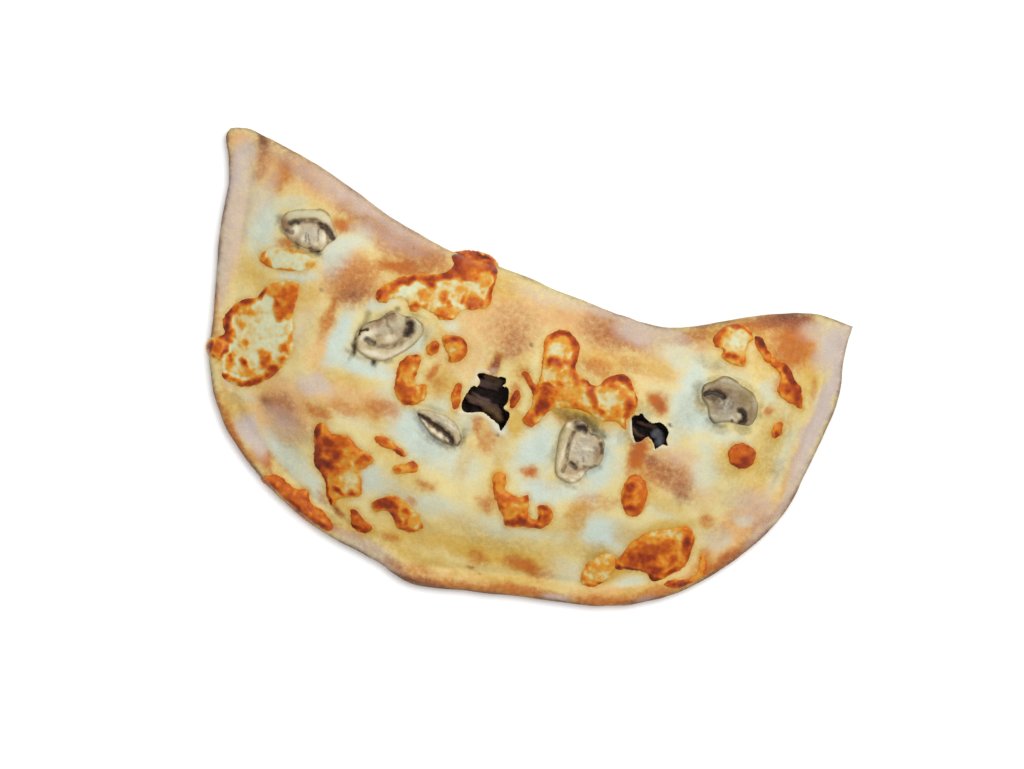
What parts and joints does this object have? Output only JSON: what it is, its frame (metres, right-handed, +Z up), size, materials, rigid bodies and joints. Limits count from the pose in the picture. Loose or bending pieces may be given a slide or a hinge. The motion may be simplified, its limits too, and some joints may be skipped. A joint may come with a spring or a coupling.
{
  "type": "calzone",
  "caption": "Baked calzone: a folded, sealed half round of pizza dough with a torn roof, mushroom slices and browned cheese on its crust.",
  "frame": {"origin": "middle of the bounding box, on the surface that the calzone lies on", "axes": "+X from tip to tip along the length, +Y towards the folded side, +Z up"},
  "size_m": [0.3227, 0.1874, 0.0335],
  "materials": {
    "baked_dough": "matte",
    "dark_filling": "satin",
    "browned_cheese": "gloss",
    "mushroom": "satin"
  },
  "bodies": {
    "root": {"crust": "baked_dough", "filling": "dark_filling", "mushroom_west": "mushroom", "mushroom_midwest": "mushroom", "mushroom_edge": "mushroom", "mushroom_middle": "mushroom", "mushroom_east": "mushroom", "cheese_west": "browned_cheese", "cheese_fold": "browned_cheese", "cheese_hook": "browned_cheese", "cheese_crescent": "browned_cheese", "cheese_drop": "browned_cheese", "cheese_southwest": "browned_cheese", "cheese_lip_west": "browned_cheese", "cheese_arch": "browned_cheese", "cheese_bowl": "browned_cheese", "cheese_southeast": "browned_cheese", "cheese_lip_east": "browned_cheese", "cheese_east": "browned_cheese", "cheese_trail": "browned_cheese", "cheese_spot": "browned_cheese", "cheese_scrap": "browned_cheese", "cheese_strip": "browned_cheese", "cheese_curd": "browned_cheese", "cheese_drip": "browned_cheese", "cheese_curl": "browned_cheese", "cheese_button": "browned_cheese", "cheese_bead": "browned_cheese", "cheese_tray": "browned_cheese", "cheese_flake": "browned_cheese", "cheese_bean": "browned_cheese"}
  },
  "joints": []
}
